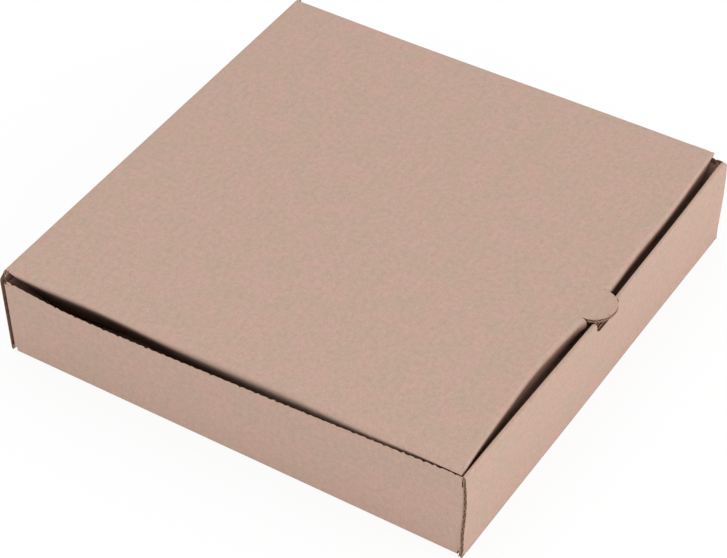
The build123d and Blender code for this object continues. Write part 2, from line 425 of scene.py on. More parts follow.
@dataclass
class Sheet:
    """Collects the folded stretches of one sheet and makes one mesh object of them."""

    points: list[np.ndarray] = field(default_factory=list)
    places: list[np.ndarray] = field(default_factory=list)
    faces: list[tuple[int, ...]] = field(default_factory=list)
    finishes: list[int] = field(default_factory=list)
    warp: Callable[[np.ndarray], np.ndarray] | None = None
    count: int = 0
    stretches: int = 0

    def _add(self, points: np.ndarray, places: np.ndarray, faces: np.ndarray, finish: Face, flip: bool) -> None:
        """Append points, and the faces that use them.

        Args:
            points: the folded points.
            places: their places on the flat sheet, and across the flutes.
            faces: rows of point numbers.
            finish: the finish of these faces.
            flip: turn the faces round.
        """
        order = slice(None, None, -1) if flip else slice(None)
        self.faces += [tuple(int(x) + self.count for x in face[order]) for face in faces]
        self.finishes += [finish.value] * len(faces)
        self.points.append(points)
        self.places.append(places)
        self.count += len(points)

    def stretch(self, lattice: Lattice, outlines: Sequence[Sequence[Mark]], across: int,
                columns: np.ndarray | None = None, mirror: bool = False) -> None:
        """Add one stretch: both liners, and the raw edge with its flutes.

        Args:
            lattice: how the stretch is folded.
            outlines: its outline, then its holes, each with the board on its left.
            across: the flat axis, 0 or 1, that crosses the flutes.
            columns: grid lines across u; every 4 mm if not given.
            mirror: build its mirror image across X = 0.
        """
        low, high = lattice.us[0], lattice.us[-1]
        if columns is None:
            columns = np.linspace(low, high, max(3, int((high - low) / COLUMN_STEP) + 1))
        loops = [Loop.sampled(marks, columns, lattice.vs, across) for marks in outlines]
        tree = KDTree(sum(len(loop.flat) for loop in loops))
        border = np.concatenate([loop.flat for loop in loops])
        for index, (u, v) in enumerate(border):
            tree.insert((u, v, 0), index)
        tree.balance()
        nodes = np.stack(np.meshgrid(columns, lattice.vs, indexing="ij"), -1).reshape(-1, 2)
        inside = loops[0].holds(nodes)
        for hole in loops[1:]:
            inside &= ~hole.holds(nodes)
        inner = [n for n in nodes[inside] if tree.find((n[0], n[1], 0))[2] > GRID_GAP]
        rings, first = [], 0
        for loop in loops:
            size = len(loop.flat)
            rings += [(first + k, first + (k + 1) % size) for k in range(size)]
            first += size
        spots = [Vector(p) for p in [*border, *inner]]
        found, _, triangles, *_ = delaunay_2d_cdt(spots, rings, [], 0, 1e-6)
        flat = np.array([tuple(p) for p in found])
        triangles = np.array(triangles)
        middle = flat[triangles].mean(axis=1)
        keep = loops[0].holds(middle)
        for hole in loops[1:]:
            keep &= ~hole.holds(middle)
        triangles = triangles[keep]
        a, b, c = (flat[triangles[:, k]] for k in range(3))
        turn = (b - a)[:, 0] * (c - a)[:, 1] - (b - a)[:, 1] * (c - a)[:, 0]
        triangles[turn < 0] = triangles[turn < 0][:, ::-1]
        outer, inward = lattice.at(flat)
        out = (lattice.outward > 0) != mirror
        self._place(outer, flat, triangles, Face.OUTSIDE, across, 0.0, mirror, not out)
        bevels = np.concatenate([self._edge_frame(lattice, loop)[2] * (BOARD.torn_bevel * loop.torn)[:, None]
                                 for loop in loops])
        nearest = [tree.find((u, v, 0)) for u, v in flat]
        share = np.array([max(0.0, 1 - reach / BOARD.bevel_reach) ** 2 for _, _, reach in nearest])
        drop = bevels[[index for _, index, _ in nearest]] * share[:, None]
        self._place(outer + inward - drop, flat, triangles, Face.INSIDE, across, 0.3, mirror, out)
        for loop in loops:
            self._raw_edge(lattice, loop, across, mirror, out)
        self.stretches += 1

    def _place(self, points: np.ndarray, flat: np.ndarray, faces: np.ndarray, finish: Face, across: int,
               layer: float, mirror: bool, flip: bool) -> None:
        """Add one face of the board, mirrored if asked.

        Args:
            points: the folded points.
            flat: their flat places.
            faces: rows of point numbers.
            finish: the finish of these faces.
            across: the flat axis that crosses the flutes.
            layer: which ply this is, so that each has a grain of its own.
            mirror: build its mirror image across X = 0.
            flip: turn the faces round.
        """
        turned = points * np.array((-1.0 if mirror else 1.0, 1.0, 1.0))
        if self.warp:
            turned = self.warp(turned)
        level = self.stretches * 0.7 + layer + (0.35 if mirror else 0.0)
        place = np.column_stack([flat, np.full(len(flat), level * 1000.0), flat[:, across]])
        self._add(turned, place, faces, finish, flip)

    @staticmethod
    def _edge_frame(lattice: Lattice, loop: Loop) -> tuple[np.ndarray, np.ndarray, np.ndarray]:
        """Work out how the board stands along a loop.

        Args:
            lattice: how the stretch is folded.
            loop: the outline or hole.

        Returns:
            Outer points, the way through the board, and the way out of the edge.
        """
        outer, inward = lattice.at(loop.flat)
        ahead = np.roll(outer, -1, axis=0) - np.roll(outer, 1, axis=0)
        return outer, inward, unit(np.cross(ahead, -lattice.outward * inward))

    def _raw_edge(self, lattice: Lattice, loop: Loop, across: int, mirror: bool, out: bool) -> None:
        """Add the cut edge of a loop: liner lips, the hollow between them in painted shade and the wavy medium;
        along torn runs all but the outer lip are in painted shade.

        Args:
            lattice: how the stretch is folded.
            loop: the outline or hole.
            across: the flat axis that crosses the flutes.
            mirror: build its mirror image across X = 0.
            out: which way the faces turn.
        """
        outer, inward, away = self._edge_frame(lattice, loop)
        wave = BOARD.flute_share(loop.flat[:, across])
        lip, deep = BOARD.liner, BOARD.recess + (BOARD.torn_recess - BOARD.recess) * loop.torn
        bevel, flush = BOARD.torn_bevel * loop.torn, np.zeros(len(wave))
        lips = [(0.0, flush), (lip, flush), (lip, deep), (1 - lip, deep), (1 - lip, bevel), (1.0, bevel)]
        neat = [Face.LINER_EDGE, Face.FLUTE, Face.TUNNEL_SHADE, Face.FLUTE, Face.LINER_EDGE]
        # Torn runs: the outer lip keeps the paper colour, the rest takes painted shade.
        rough = [Face.LINER_EDGE] + [Face.SHADE] * 4
        bands = [[(np.full(len(wave), share), depth) for share, depth in lips]]
        low, high = wave - BOARD.medium, wave + BOARD.medium
        crest = 0.04 + 0.9 * bevel
        bands.append([(low, deep), (low, crest), (high, crest), (high, deep)])
        size = len(loop.flat)
        whole = (loop.torn > 0) & (np.roll(loop.torn, -1) > 0)
        for torn, lip_kinds, medium in ((False, neat, Face.FLUTE), (True, rough, Face.SHADE)):
            segments = np.flatnonzero(loop.cut & (whole == torn))
            if not len(segments):
                continue
            quads = np.column_stack([segments, (segments + 1) % size, size + (segments + 1) % size, size + segments])
            for rows, finishes in zip(bands, (lip_kinds, [medium] * 3)):
                lines = [outer + inward * share[:, None] - away * depth[:, None] for share, depth in rows]
                for near, far, finish in zip(lines, lines[1:], finishes):
                    self._place(np.concatenate([near, far]), np.concatenate([loop.flat] * 2), quads,
                                finish, across, 0.5, mirror, out)

    def made(self, name: str, finishes: Sequence[bpy.types.Material]) -> bpy.types.Object:
        """Make the mesh object.

        Args:
            name: the piece's name.
            finishes: materials in the order of Face.

        Returns:
            The new object, linked to the scene.
        """
        mesh = bpy.data.meshes.new(name)
        used = np.unique(np.concatenate([np.array(face) for face in self.faces]))
        renumber = np.zeros(self.count, int)
        renumber[used] = np.arange(len(used))
        points = np.concatenate(self.points)[used] * MM
        places = np.concatenate(self.places)[used]
        mesh.from_pydata(points.tolist(), [], [tuple(renumber[list(face)].tolist()) for face in self.faces])
        for material in finishes:
            mesh.materials.append(material)
        mesh.polygons.foreach_set("material_index", self.finishes)
        smooth = [finish in (Face.OUTSIDE.value, Face.INSIDE.value) for finish in self.finishes]
        mesh.polygons.foreach_set("use_smooth", smooth)
        sheet = mesh.attributes.new("sheet", "FLOAT_VECTOR", "POINT")
        sheet.data.foreach_set("vector", (places[:, :3] * MM).ravel())
        flute = mesh.attributes.new("flute", "FLOAT", "POINT")
        flute.data.foreach_set("value", places[:, 3] * MM)
        mesh.update()
        made = bpy.data.objects.new(name, mesh)
        bpy.context.scene.collection.objects.link(made)
        log.info("%s: %d stretches, %d faces", name, self.stretches, len(self.faces))
        return made


@dataclass(frozen=True)
class BoxShape:
    """Sizes that the tray and the lid share."""

    half_width: float
    half_depth: float
    lid_top: float
    crease: float = 0.6
    outset: float = 0.1
    hinge_seam: tuple[float, float] = (103.53, 39.0)
    hinge_knee: tuple[float, float] = (101.9, 42.7)
    hinge_lid_y: float = 98.7
    hinge_side_y: float = 100.2
    panel_half: float = 96.0

    @classmethod
    def packed(cls, lid_sink: float = 0.3) -> "BoxShape":
        """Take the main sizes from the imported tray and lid.

        Args:
            lid_sink: how far the lid has settled below its packed top.

        Returns:
            The box's sizes.
        """
        tray_high, lid_high = (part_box(node)[1] for node in ("tray", "lid"))
        width, depth, top = tray_high[0] / MM, tray_high[1] / MM, lid_high[2] / MM
        return cls(round(width, 2), round(depth, 2), round(top - lid_sink, 2))


@dataclass
class Tray:
    """Base, walls and tucked flaps: the half of the sheet that stands on the table."""

    shape: BoxShape
    crest_top: float = 41.55
    inner_face: float = -98.3
    shoulder_z: float = 31.0
    notch_half: float = 8.6
    notch_low: float = 35.9
    notch_corner: float = 4.0
    tongue_at: float = 52.0
    tongue_half: float = 16.0
    slot_play: float = 0.25
    flap_reach: float = 55.0
    flap_start: tuple[float, float] = (101.1, 100.2)
    flap_bend: float = 0.55
    rag: float = 0.6

    def lean(self, x: float) -> float:
        """How far the crest stands out of the base line."""
        return through(x, (-103, 0.45), (-60, 1.6), (0, 2.25), (60, 1.5), (103, 1.05))

    def foot(self, x: float) -> float:
        """How far the front crease stands out at the base."""
        return through(x, (-103, 0.75), (-70, 0.6), (-10, 0.5), (30, 0.25), (103, 0.1))

    def belly(self, x: float) -> float:
        """How far the outer ply swells below the crest."""
        return through(x, (-103, 1.05), (-60, 0.4), (60, 0.3), (103, 0.5))

    def front_y(self, x: float, z: float) -> float:
        """Outer face of the front wall.

        Args:
            x: place along the wall.
            z: height.

        Returns:
            Its Y.
        """
        rise = max(0.0, z) / self.crest_top
        swell = self.belly(x) * math.sin(math.pi * min(1.0, rise) ** 1.5)
        return -self.shape.half_depth - self.lean(x) * rise - max(swell, self.foot(x) * (1 - 2 * rise))

    def crest_width(self, x: float) -> float:
        """Width of the crushed crest."""
        return through(x, (-103, 1.5), (-80, 2.0), (0, 2.1), (70, 1.9), (103, 2.5))

    def section(self, x: float) -> np.ndarray:
        """The board from under the hinge down, along the base, over the crest and down inside.

        Args:
            x: where the section is taken.

        Returns:
            Its points.
        """
        shape = self.shape
        top = self.crest_top - 0.3 * math.exp(-(((abs(x) - 8) / 9) ** 2)) - 0.9 * math.exp(-(((x - 104) / 3) ** 2))
        crest = self.front_y(x, top)
        back = crest + self.crest_width(x)
        rise = [Corner(self.front_y(x, z), z) for z in (6, 12, 18, 24, 29, 34, 38)]
        corners = [
            Corner(*shape.hinge_seam),
            Corner(105.1, 36.0, 5.0),
            Corner(shape.half_depth + shape.outset, 0, shape.crease),
            Corner(-shape.half_depth - self.foot(x), 0, shape.crease),
            *rise,
            Corner(crest, top, 0.9),
            Corner(back, top, 0.9),
            Corner(back + 0.35, 38.6, 3.0),
            Corner(self.inner_face, self.shoulder_z, 9.0),
            Corner(self.inner_face, 0.25),
        ]
        runs = [2, 12, 52, 2, 2, 2, 2, 2, 2, 2, 2, 2, 2, 2, 12]
        return rounded(corners, runs)

    def main_lattice(self) -> Lattice:
        """Fold the front wall, base and back wall as one swept strip.

        Returns:
            The strip, thinner where the crest is crushed.
        """
        stations = np.linspace(-self.shape.half_width - 1.4, self.shape.half_width + 1.4, 106)

        lattice = Lattice.swept(stations, self.section, along_x, 1)
        crest = lattice.length_to(self.front_y(0, 41.0) + 1.0, self.crest_top)
        lattice.thin = lambda v: 1 - 0.36 * np.exp(-(((v - crest) / 3.2) ** 2))
        return lattice

    def build_main(self, sheet: Sheet) -> None:
        """Add the front wall with its notch, the base with its slots, and the back wall.

        Args:
            sheet: the tray's sheet.
        """
        shape, lattice = self.shape, self.main_lattice()
        end = lattice.vs[-1]
        base_back = lattice.length_to(shape.half_depth - shape.crease, 0)
        base_front = lattice.length_to(-shape.half_depth - self.foot(0) + shape.crease, 0)
        crest_back = lattice.length_to(self.front_y(0, 41.0) + 2.1, 39.5, base_front + 43)
        bottom = end - 1.45
        wide, base, inner = shape.half_width, shape.half_width - 2.0, shape.half_width - 1.8
        left = [
            Mark(-wide, 0, Edge.TORN), Mark(-wide, base_back - 3), Mark(-wide, base_back),
            Mark(-base, base_back, Edge.SEAM), Mark(-base, base_front),
            Mark(-wide - 1.2, base_front + 0.1), Mark(-wide - 1.3, base_front + 1.5), Mark(-wide, base_front + 4.0),
            Mark(-wide, crest_back), Mark(-inner, crest_back), Mark(-inner, bottom),
        ]
        tongues = []
        for centre in (-self.tongue_at, self.tongue_at):
            low, high = centre - self.tongue_half, centre + self.tongue_half
            tongues += [Mark(low, bottom), Mark(low + 1, end - 0.02), Mark(high - 1, end - 0.02), Mark(high, bottom)]
        right = [
            Mark(inner, bottom), Mark(inner, crest_back), Mark(wide, crest_back), Mark(wide, base_front + 3.0),
            Mark(wide + 0.4, base_front + 0.4),
            Mark(base, base_front, Edge.SEAM), Mark(base, base_back), Mark(wide, base_back),
            Mark(wide, base_back - 3, Edge.TORN), Mark(wide, 0, Edge.SEAM),
        ]
        outline = self.turned([*left, *tongues, *right][::-1])
        low = lattice.length_to(self.front_y(0, self.notch_low), self.notch_low, base_front)
        high = lattice.length_to(-102.6, self.notch_low + 1.2, crest_back - 2)
        side, r = self.notch_half, self.notch_corner
        notch = [
            *cut_arc(-side + r, low + r, r, -90, -180), *cut_arc(-side + 1.5, high - 1.5, 1.5, 180, 90, 4),
            *cut_arc(side - 1.5, high - 1.5, 1.5, 90, 0, 4), *cut_arc(side - r, low + r, r, 0, -90),
        ]
        slots = []
        near = lattice.length_to(self.inner_face + self.slot_play, 0)
        far = lattice.length_to(self.inner_face - BOARD.thickness - self.slot_play, 0)
        for centre in (-self.tongue_at, self.tongue_at):
            left_end, right_end = centre - self.tongue_half - 0.3, centre + self.tongue_half + 0.3
            slots.append([Mark(left_end, near), Mark(left_end, far), Mark(right_end, far), Mark(right_end, near)])
        sheet.stretch(lattice, [outline, notch, *slots], across=1)

    @staticmethod
    def turned(marks: list[Mark]) -> list[Mark]:
        """Marks of an outline that was turned round, each with the edge that now follows it."""
        follow = [*marks[1:], marks[0]]
        return [Mark(m.u, m.v, f.edge, f.rag) for m, f in zip(marks, follow)]

    def wall_top(self, y: float) -> float:
        """Cut edge of a side wall: low near the hinge, rising to the front.

        Args:
            y: place along the wall.

        Returns:
            Its height.
        """
        if y > 73:
            return 33.7 + 2.5 * ((y - 73) / 28.0) ** 1.25
        if y > 55:
            return 33.7
        share = min(1.0, (55 - y) / 150.0)
        return 33.7 + 7.4 * share - 0.45 * math.sin(math.pi * share)

    def build_side(self, sheet: Sheet, mirror: bool) -> None:
        """Add one side wall, bent up from the base, with a rag along its top.

        Args:
            sheet: the tray's sheet.
            mirror: the wall is the one at positive X.
        """
        shape = self.shape
        stations = np.linspace(-102.6, 103.4, 88)

        def section(y: float) -> np.ndarray:
            """Base crease and wall.

            Args:
                y: where the section is taken.

            Returns:
                Its points.
            """
            hollow = 0.25 * math.sin(math.pi * (y + 102) / 204)
            return rounded([
                Corner(-shape.half_width + 2.0, 0), Corner(-shape.half_width - shape.outset, 0, shape.crease),
                Corner(-shape.half_width + hollow, 20), Corner(-shape.half_width, 42.5),
            ], [1, 8, 10])

        lattice = Lattice.swept(stations, section, along_y, -1)
        foot = lattice.vs[-1] - 42.5
        front, back = -self.flap_start[0], self.flap_start[1]
        tops = [Mark(y, foot + self.wall_top(y), Edge.TORN, self.rag) for y in np.linspace(back + 1.6, -102.2, 30)]
        outline = [
            Mark(front, 0, Edge.SEAM), Mark(back, 0), Mark(back, foot + 2.2, Edge.SEAM), Mark(back, foot + 34.8),
            Mark(back + 1.6, foot + 34.8), *tops, Mark(-102.2, foot + 32.4), Mark(front, foot + 32.0, Edge.SEAM),
            Mark(front, foot + 2.2),
        ]
        sheet.stretch(lattice, [outline], across=0, mirror=mirror)

    def build_flap(self, sheet: Sheet, front: bool, mirror: bool) -> None:
        """Add one corner flap, bent from the end of a side wall and tucked behind a wall.

        Args:
            sheet: the tray's sheet.
            front: the flap goes behind the front wall, not the back wall.
            mirror: the flap is on the side wall at positive X.
        """
        shape = self.shape
        way = -1.0 if front else 1.0
        top = 36.0 if front else 34.6
        levels = np.linspace(1.9, top, 9)
        reach = self.flap_reach

        def plan(z: float) -> np.ndarray:
            """Path of the flap's outer face, seen from above.

            Args:
                z: the level.

            Returns:
                Its points.
            """
            face = shape.half_depth - BOARD.thickness
            swell = 1.9 * z / 36
            if front:
                end = shape.half_width if mirror else -shape.half_width
                swell = -self.front_y(end, z) - shape.half_depth
            return rounded([
                Corner(-shape.half_width, way * self.flap_start[0 if front else 1]),
                Corner(-shape.half_width, way * (face + swell), self.flap_bend),
                Corner(-shape.half_width + 16, way * (face + swell * (0.4 if front else 1.0))),
                Corner(-shape.half_width + reach, way * (face + swell * (0.4 if front else 1.0))),
            ], [1, 5, 12])

        paths = [plan(z) for z in levels]
        steps = np.linalg.norm(np.diff(paths[4], axis=0), axis=1)
        us = np.concatenate([[0.0], np.cumsum(steps)])
        grid = np.stack([np.column_stack([p, np.full(len(p), z)]) for p, z in zip(paths, levels)], axis=1)
        lattice = Lattice(us, levels, grid, 1 if front else -1)
        far, low, high = us[-1], levels[0], levels[-1]
        outline = [
            Mark(0, low), Mark(far - 8, low), Mark(far, low + 5), Mark(far, high - 5), Mark(far - 8, high),
            Mark(0, high, Edge.SEAM),
        ]
        sheet.stretch(lattice, [outline], across=0, columns=us, mirror=mirror)

    def build(self, finishes: Sequence[bpy.types.Material]) -> bpy.types.Object:
        """Fold the whole tray.

        Args:
            finishes: materials in the order of Face.

        Returns:
            The tray's piece, riding on its body.
        """
        sheet = Sheet()
        self.build_main(sheet)
        for mirror in (False, True):
            self.build_side(sheet, mirror)
            self.build_flap(sheet, True, mirror)
            self.build_flap(sheet, False, mirror)
        piece = sheet.made("tray_sheet", finishes)
        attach(piece, "tray")
        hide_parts("tray")
        return piece


@dataclass
class Lid:
    """Top panel, side flaps, front flap and tab: the half of the sheet that swings."""

    shape: BoxShape
    flap_foot: float = 8.7
    tab_half: float = 9.0
    tab_tip: float = -108.2
    tab_lift: float = 0.55
    hole_half: float = 9.35
    corner: float = 101.5
    mitre_foot: float = 41.0
    corner_lift: float = 1.6

    def fold_y(self, x: float) -> float:
        """Front fold, slightly out of square and drawn in either side of the tab."""
        return through(x, (-101.5, -101.9), (-90, -100.8), (-76, -99.9), (-60, -99.1), (-46, -98.5), (-26, -99.2),
                       (-9, -100.3), (11, -100.7), (34, -100.0), (60, -100.0), (101.5, -98.3))

    def fold_radius(self, x: float) -> float:
        """Radius of the front fold, sharpest at the corners."""
        return through(x, (-101.5, 0.8), (-80, 1.2), (80, 1.2), (101.5, 0.8))

    def sprung(self, points: np.ndarray) -> np.ndarray:
        """Spring the far front corner up a little.

        Args:
            points: the lid's points.

        Returns:
            The points as they end up.
        """
        along = np.clip((points[:, 0] - 5) / 98, 0, 1) ** 1.5
        ahead = np.clip((-points[:, 1] - 5) / 95, 0, 1) ** 1.5
        return points + np.column_stack([np.zeros((len(points), 2)), self.corner_lift * along * ahead])

    def section(self, x: float) -> np.ndarray:
        """The panel from the hinge forward, then the front flap going down.

        Args:
            x: where the section is taken.

        Returns:
            Its points.
        """
        top, fold = self.shape.lid_top, self.fold_y(x)
        spring = math.exp(-(((x + 9.6) / 1.5) ** 2))
        corners = [
            Corner(self.shape.hinge_lid_y, top), Corner(fold - 0.5 * spring, top, self.fold_radius(x)),
            Corner(fold + 1.3 - 2.6 * spring, 37.5, 3.0), Corner(-95.6, 28.0, 4.0), Corner(-96.2, self.flap_foot),
        ]
        return rounded(corners, [50, 4, 4, 8])

    def main_lattice(self) -> Lattice:
        """Panel and front flap as one swept strip."""
        stations = np.concatenate([[-104.5, -101.5], np.linspace(-99, 99, 120), [101.5, 104.5]])

        return Lattice.swept(stations, self.section, along_x, -1)

    def fold_x(self, y: float, mirror: bool) -> float:
        """Side fold, drawn in a little in front of the middle; the far one stays straight.

        Args:
            y: place along the fold.
            mirror: the fold is the one at positive X.

        Returns:
            Its X, as on the side at negative X.
        """
        if mirror:
            return -through(y, (-97, 104.3), (-60, 104.1), (-26, 103.8), (43, 102.9), (100, 102.6))
        return -through(y, (-99, 103.4), (-80, 103.0), (-50, 102.3), (-25, 101.9), (5, 102.6), (30, 103.3),
                        (68, 102.9), (86, 103.4), (100, 103.4))

    def side_radius(self, y: float, mirror: bool) -> float:
        """Radius of a side fold: softest a little in front of the middle.

        Args:
            y: place along the fold.
            mirror: the fold is the one at positive X.

        Returns:
            The radius.
        """
        if mirror:
            return 0.8
        return through(y, (-99, 0.7), (-80, 1.0), (-50, 1.9), (-25, 2.1), (8, 1.2), (35, 0.7), (100, 0.6))

    def side_lattice(self, tray: Tray, mirror: bool) -> Lattice:
        """Fold the panel margin and one side flap as one swept strip.

        Args:
            tray: the tray that the flap drops into.
            mirror: the flap is the one at positive X.

        Returns:
            The strip.
        """
        shape = self.shape
        start = self.fold_y(self.corner if mirror else -self.corner)
        stations = np.concatenate([[start - 0.5, start + 2.4], np.linspace(start + 4, shape.hinge_side_y, 88)])

        def section(y: float) -> np.ndarray:
            """Panel margin and side flap.

            Args:
                y: where the section is taken.

            Returns:
                Its points.
            """
            tuck = min(39.6, tray.wall_top(y) - 0.8)
            fold = self.fold_x(y, mirror)
            lean = math.tan(math.radians(through(y, (-99, 16), (-60, 17), (-25, 20), (10, 27), (40, 33), (98, 33))))
            inside = max(-101.3, fold + (shape.lid_top - tuck) * lean)
            foot = inside + (tuck - self.flap_foot) * lean
            return rounded([
                Corner(-shape.panel_half, shape.lid_top), Corner(fold, shape.lid_top, self.side_radius(y, mirror)),
                Corner(inside, tuck, 0.6), Corner(foot, self.flap_foot),
            ], [2, 4, 10])

        return Lattice.swept(stations, section, along_y, 1)

    def mitre(self, main: Lattice, side: Lattice, mirror: bool) -> tuple[list[Mark], list[Mark], int]:
        """The line down a corner where the two folds meet, as both strips see it.

        Args:
            main: panel and front flap.
            side: panel margin and side flap.
            mirror: the corner is the one at positive X.

        Returns:
            Marks for the main strip, marks for the side strip, and the row where the front bend starts.
        """
        top = self.shape.lid_top
        front = main.grid[-1 if mirror else 0]
        flank = side.grid[0]
        turn = int(np.flatnonzero(front[:, 2] > top - 1e-6)[-1])
        bend = int(np.flatnonzero(flank[:, 2] > top - 1e-6)[-1])
        on_main, on_side = [], []
        for z in top - (top - self.mitre_foot) * np.linspace(0, 1, 12) ** 1.6:
            v, y = (float(np.interp(-z, -front[turn:, 2], row[turn:])) for row in (main.vs, front[:, 1]))
            w, x = (float(np.interp(-z, -flank[bend:, 2], row[bend:])) for row in (side.vs, flank[:, 0]))
            on_main.append(Mark(-x if mirror else x, v, Edge.SEAM))
            on_side.append(Mark(y, w, Edge.SEAM))
        return on_main, on_side, turn

    def build_main(self, sheet: Sheet, sides: Sequence[Lattice]) -> None:
        """Add the panel with the front flap, and the hole that the tab left in it.

        Args:
            sheet: the lid's sheet.
            sides: the strips at negative and positive X.
        """
        lattice = self.main_lattice()
        end, half = lattice.vs[-1], self.shape.panel_half
        left, _, turn_row = self.mitre(lattice, sides[0], False)
        right, _, _ = self.mitre(lattice, sides[1], True)
        turn, tuck = lattice.vs[turn_row], lattice.length_to(self.fold_y(0) + 1.7, 37.5, lattice.vs[turn_row])
        outline = [
            Mark(-half, 0, Edge.SEAM), Mark(-half, turn, Edge.SEAM), *left[:-1], Mark(left[-1].u, left[-1].v),
            Mark(-100.2, tuck), Mark(-97.0, end - 8), Mark(-90.0, end), Mark(90.0, end), Mark(97.0, end - 8),
            Mark(100.2, tuck), *right[::-1], Mark(half, turn, Edge.SEAM), Mark(half, 0, Edge.SEAM),
        ]
        hole, brow, centre = self.hole_half, turn - 0.4, turn + 2.2
        bite = [
            Mark(-hole, brow), Mark(-hole, centre), *cut_arc(0, centre, hole, 180, 0, 24)[1:-1],
            Mark(hole, centre), Mark(hole, brow, Edge.SEAM),
        ]
        sheet.stretch(lattice, [Tray.turned(outline), bite], across=1)
        self._build_tab(sheet, lattice, brow)

    def _build_tab(self, sheet: Sheet, panel: Lattice, turn: float) -> None:
        """Add the half-round tab, level with the panel and lifting a little to its tip.

        Args:
            sheet: the lid's sheet.
            panel: panel and front flap.
            turn: section length of the panel where the tab starts.
        """
        start = float(panel.at(np.array([[0.0, turn]]))[0][0, 1])
        stations = np.linspace(-10, 10, 11)
        top = self.shape.lid_top

        def section(x: float) -> np.ndarray:
            """The tab's face.

            Args:
                x: where the section is taken.

            Returns:
                Its points.
            """
            root = float(panel.at(np.array([[x, turn]]))[0][0, 1])
            ys = np.linspace(root, self.tab_tip, 14)
            lift = self.tab_lift * ((root - ys) / (root - self.tab_tip)) ** 2
            return np.column_stack([ys, top + lift])

        lattice = Lattice.swept(stations, section, along_x, -1)
        side, end = self.tab_half, start - self.tab_tip
        outline = [
            Mark(-self.hole_half, 0, Edge.SEAM), Mark(self.hole_half, 0),
            *cut_arc(0, end - side, side, 0, 180, 30),
        ]
        sheet.stretch(lattice, [outline], across=1, columns=stations)

    def build_side(self, sheet: Sheet, main: Lattice, lattice: Lattice, mirror: bool) -> None:
        """Add one side flap, bent down inside its wall, with the panel's margin beside it.

        Args:
            sheet: the lid's sheet.
            main: panel and front flap.
            lattice: the margin and the side flap.
            mirror: the flap is the one at positive X.
        """
        shape = self.shape
        _, mitre, turn_row = self.mitre(main, lattice, mirror)
        half = shape.panel_half
        place = np.array([[half if mirror else -half, main.vs[turn_row]]])
        brow = float(main.at(place)[0][0, 1])
        high, end = shape.hinge_side_y, lattice.vs[-1]
        knee = float(mitre[-1].v)
        outline = [
            Mark(high, 0, Edge.SEAM), Mark(brow, 0, Edge.SEAM), *mitre[:-1], Mark(mitre[-1].u, knee),
            Mark(-95.0, knee + 2.5), Mark(-90.0, knee + 5.5), Mark(-80.0, end), Mark(95.0, end),
            Mark(high, knee + 8), Mark(high, knee - 2.0, Edge.SEAM),
        ]
        sheet.stretch(lattice, [outline], across=0, mirror=mirror)

    def build(self, tray: Tray, finishes: Sequence[bpy.types.Material]) -> bpy.types.Object:
        """Fold the whole lid.

        Args:
            tray: the tray that the side flaps drop into.
            finishes: materials in the order of Face.

        Returns:
            The lid's piece, riding on its body.
        """
        sheet = Sheet(warp=self.sprung)
        main, sides = self.main_lattice(), [self.side_lattice(tray, mirror) for mirror in (False, True)]
        self.build_main(sheet, sides)
        for mirror, side in enumerate(sides):
            self.build_side(sheet, main, side, bool(mirror))
        piece = sheet.made("lid_sheet", finishes)
        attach(piece, "lid")
        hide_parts("lid")
        return piece


@dataclass
class Hinge:
    """The crease between the back wall and the lid, which bends as the lid swings."""

    shape: BoxShape

    def build(self, finishes: Sequence[bpy.types.Material]) -> bpy.types.Object:
        """Fold the crease and blend it from the tray to the lid.

        Args:
            finishes: materials in the order of Face.

        Returns:
            The crease's piece.
        """
        shape = self.shape
        stations = np.linspace(-shape.half_width, shape.half_width, 60)

        def section(x: float) -> np.ndarray:
            """Back wall's top bending over to the panel.

            Args:
                x: where the section is taken; it is the same all along.

            Returns:
                Its points.
            """
            return rounded([
                Corner(*shape.hinge_seam), Corner(*shape.hinge_knee, 1.6), Corner(shape.hinge_lid_y, shape.lid_top),
            ], [6, 5])

        lattice = Lattice.swept(stations, section, along_x, -1)
        end = lattice.vs[-1]
        side = end - (shape.hinge_side_y - shape.hinge_lid_y)
        wide, half = shape.half_width, shape.panel_half
        outline = [
            Mark(-wide, 0, Edge.SEAM), Mark(wide, 0), Mark(wide, side, Edge.SEAM),
            Mark(half, side, Edge.SEAM), Mark(half, end, Edge.SEAM), Mark(-half, end, Edge.SEAM),
            Mark(-half, side, Edge.SEAM), Mark(-wide, side),
        ]
        sheet = Sheet()
        sheet.stretch(lattice, [outline], across=1)
        piece = sheet.made("hinge_crease", finishes)
        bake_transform(piece, "tray", "lid", start=(0, 0.1035, 0.0392), end=(0, 0.1002, 0.0427))
        return piece


class Socket:
    """A node socket that takes part in Python expressions."""

    def __init__(self, graph: "Graph", link: bpy.types.NodeSocket) -> None:
        """Wrap an output socket of a graph."""
        self.graph, self.link = graph, link

    def _maths(self, operation: str, *values: "Socket | float") -> "Socket":
        """A Math node on these values."""
        return self.graph.node("Math", {"operation": operation}, dict(enumerate(values)))

    def __add__(self, other: "Socket | float") -> "Socket":
        """Sum."""
        return self._maths("ADD", self, other)

    def __sub__(self, other: "Socket | float") -> "Socket":
        """Difference."""
        return self._maths("SUBTRACT", self, other)

    def __rsub__(self, other: float) -> "Socket":
        """Difference, the other way round."""
        return self._maths("SUBTRACT", other, self)

    def __mul__(self, other: "Socket | float") -> "Socket":
        """Product."""
        return self._maths("MULTIPLY", self, other)

    def __gt__(self, other: "Socket | float") -> "Socket":
        """1 where this is greater, else 0."""
        return self._maths("GREATER_THAN", self, other)

    def sine(self) -> "Socket":
        """Sine of an angle in radians."""
        return self._maths("SINE", self)

    __radd__, __rmul__ = __add__, __mul__


